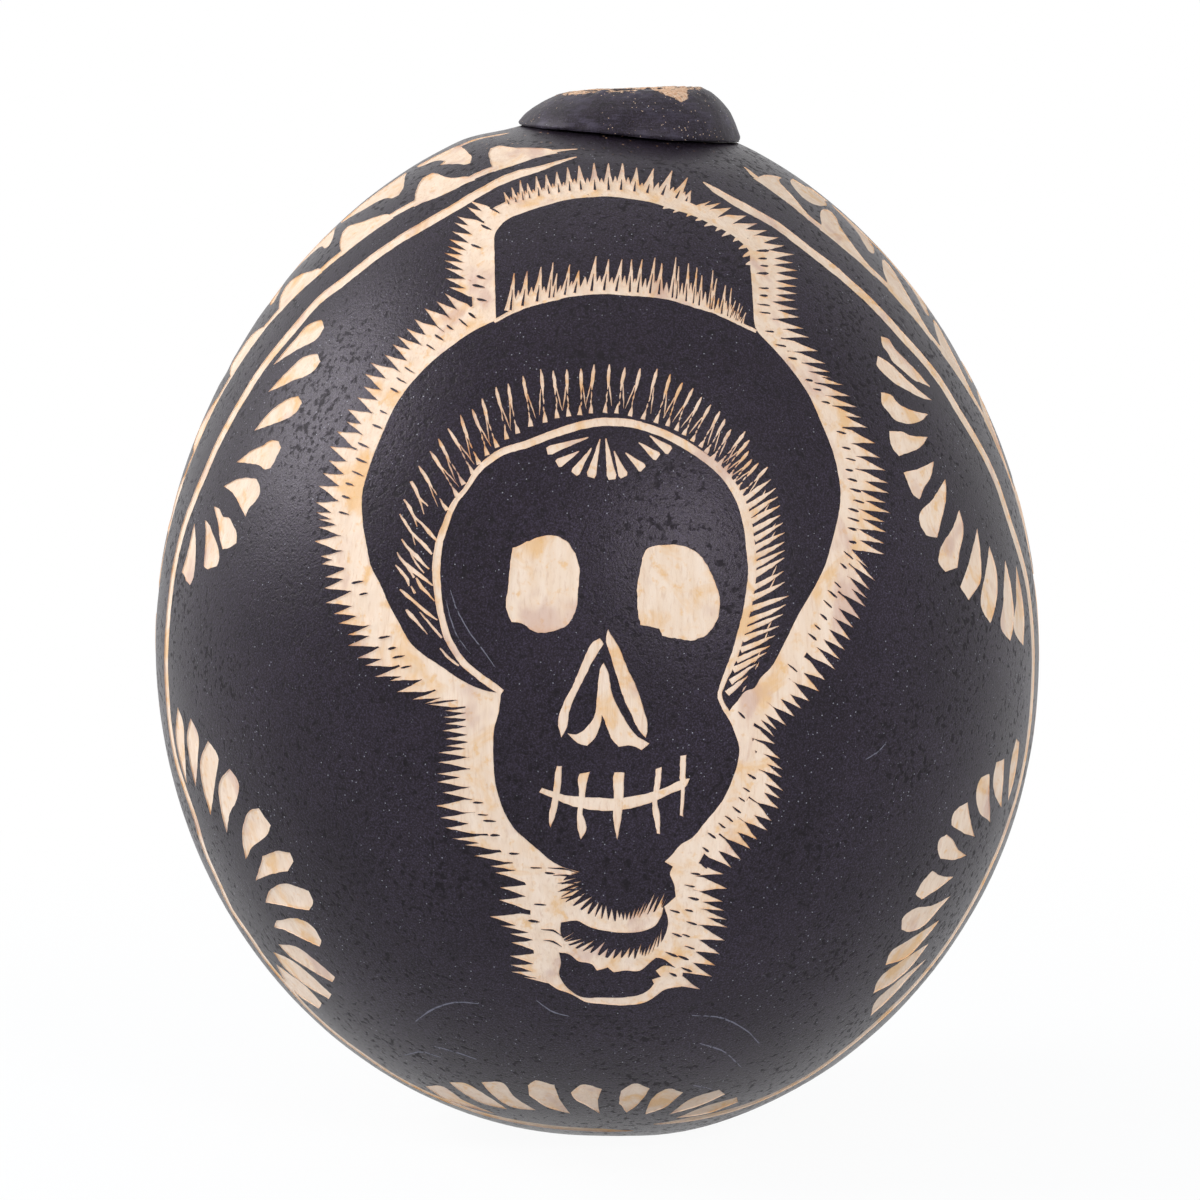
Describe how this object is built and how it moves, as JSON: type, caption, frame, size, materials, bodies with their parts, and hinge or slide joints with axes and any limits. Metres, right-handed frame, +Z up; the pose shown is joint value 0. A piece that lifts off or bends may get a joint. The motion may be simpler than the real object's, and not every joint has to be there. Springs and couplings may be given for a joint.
{
  "type": "mezcal gourd",
  "caption": "Dried calabash bottle for spirit, egg shaped, with a flat stand, a raised ring round its open mouth, a carved and dyed rind and a waxed inside.",
  "frame": {"origin": "centre of the flat that the gourd stands on, at the foot of the calabash's axis", "axes": "+Z up along the calabash's axis; +X towards the side to which the mouth ring stands and leans; the carved face looks along -Y"},
  "size_m": [0.13, 0.13, 0.1541],
  "materials": {
    "rind": "satin black dye, with carving down to raw cream rind",
    "ring": "satin black dye, with a raw tan lip",
    "pitch": "gloss",
    "wax": "satin beeswax"
  },
  "bodies": {
    "root": {"gourd_shell": "rind", "mouth_ring": "ring", "pitch_seal": "pitch", "wax_lining": "wax"}
  },
  "joints": []
}
